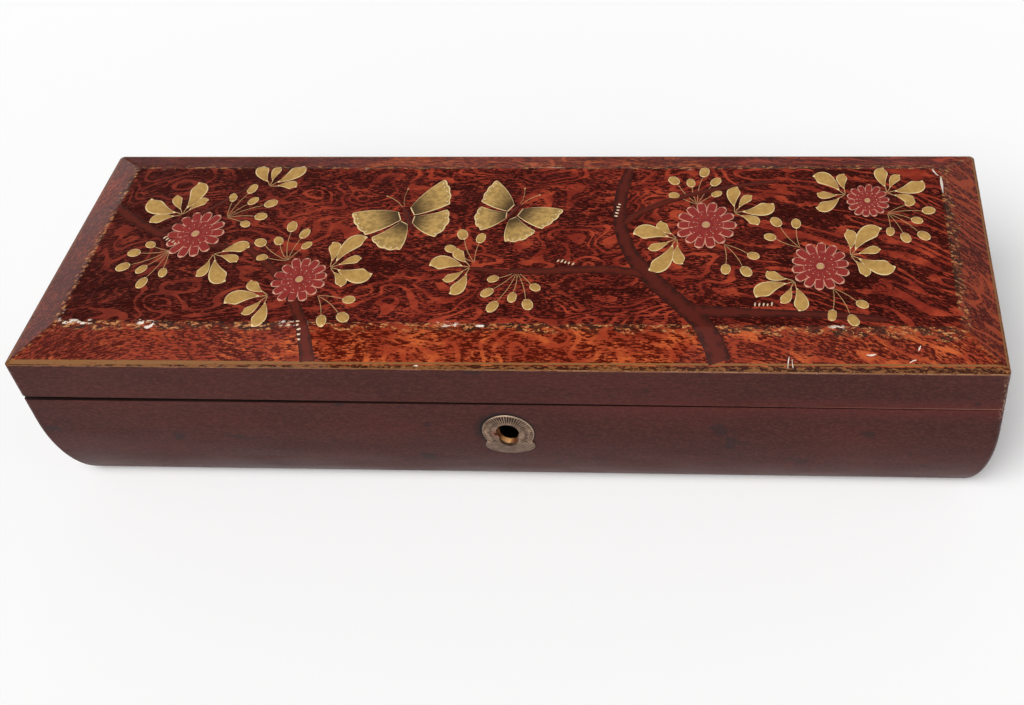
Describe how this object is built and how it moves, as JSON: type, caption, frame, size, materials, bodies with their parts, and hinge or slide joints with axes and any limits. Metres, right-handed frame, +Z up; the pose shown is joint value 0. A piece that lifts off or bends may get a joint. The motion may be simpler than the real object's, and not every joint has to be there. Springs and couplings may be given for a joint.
{
  "type": "hinged lacquer box",
  "caption": "Long wooden lacquer box: curved base, bevelled hinged lid, brass butt hinges, box lock behind a keyhole escutcheon.",
  "frame": {"origin": "middle of the flat underside, on the surface the box stands on", "axes": "+X along the length to the right of the front, +Y from the front to the hinged back, +Z up"},
  "size_m": [0.3, 0.1007, 0.0635],
  "materials": {
    "side_lacquer": "deep maroon-brown satin lacquer on wood",
    "figured_lacquer": "glossy red-orange lacquer with a black burl figure, gold edge line and painted sprays",
    "aged_brass": "stamped sheet brass, dull brown with age",
    "brass": "tarnished yellow brass",
    "steel": "dull drawn steel wire"
  },
  "bodies": {
    "base": {"base_front_wall": "side_lacquer", "base_back_wall": "side_lacquer", "base_left_wall": "side_lacquer", "base_right_wall": "side_lacquer", "base_bottom_board": "side_lacquer", "left_hinge_base_leaf": "brass", "left_hinge_pin": "steel", "left_hinge_base_screw_1": "brass", "left_hinge_base_screw_2": "brass", "right_hinge_base_leaf": "brass", "right_hinge_pin": "steel", "right_hinge_base_screw_1": "brass", "right_hinge_base_screw_2": "brass", "escutcheon": "aged_brass", "lock_plate": "brass", "lock_cap": "brass", "bolt_spring": "steel", "lock_plate_screw_1": "brass", "lock_plate_screw_2": "brass", "lock_plate_screw_3": "brass", "lock_plate_screw_4": "brass"},
    "lid": {"lid_front_rail": "side_lacquer", "lid_back_rail": "side_lacquer", "lid_left_rail": "side_lacquer", "lid_right_rail": "side_lacquer", "lid_top_board": "figured_lacquer", "left_hinge_lid_leaf": "brass", "left_hinge_lid_screw_1": "brass", "left_hinge_lid_screw_2": "brass", "right_hinge_lid_leaf": "brass", "right_hinge_lid_screw_1": "brass", "right_hinge_lid_screw_2": "brass", "strike_plate": "brass", "strike_screw_1": "brass", "strike_screw_2": "brass"},
    "bolt": {"lock_bolt": "brass"}
  },
  "joints": [
    {"name": "lid_hinge", "type": "hinge", "parent": "base", "child": "lid", "pos_m": [0, 0.0482, 0.04215], "axis": [-1, 0, 0], "range_deg": [0, 98]},
    {"name": "bolt_slide", "type": "slide", "parent": "base", "child": "bolt", "axis": [1, 0, 0], "range_m": [0, 0.0026]}
  ]
}
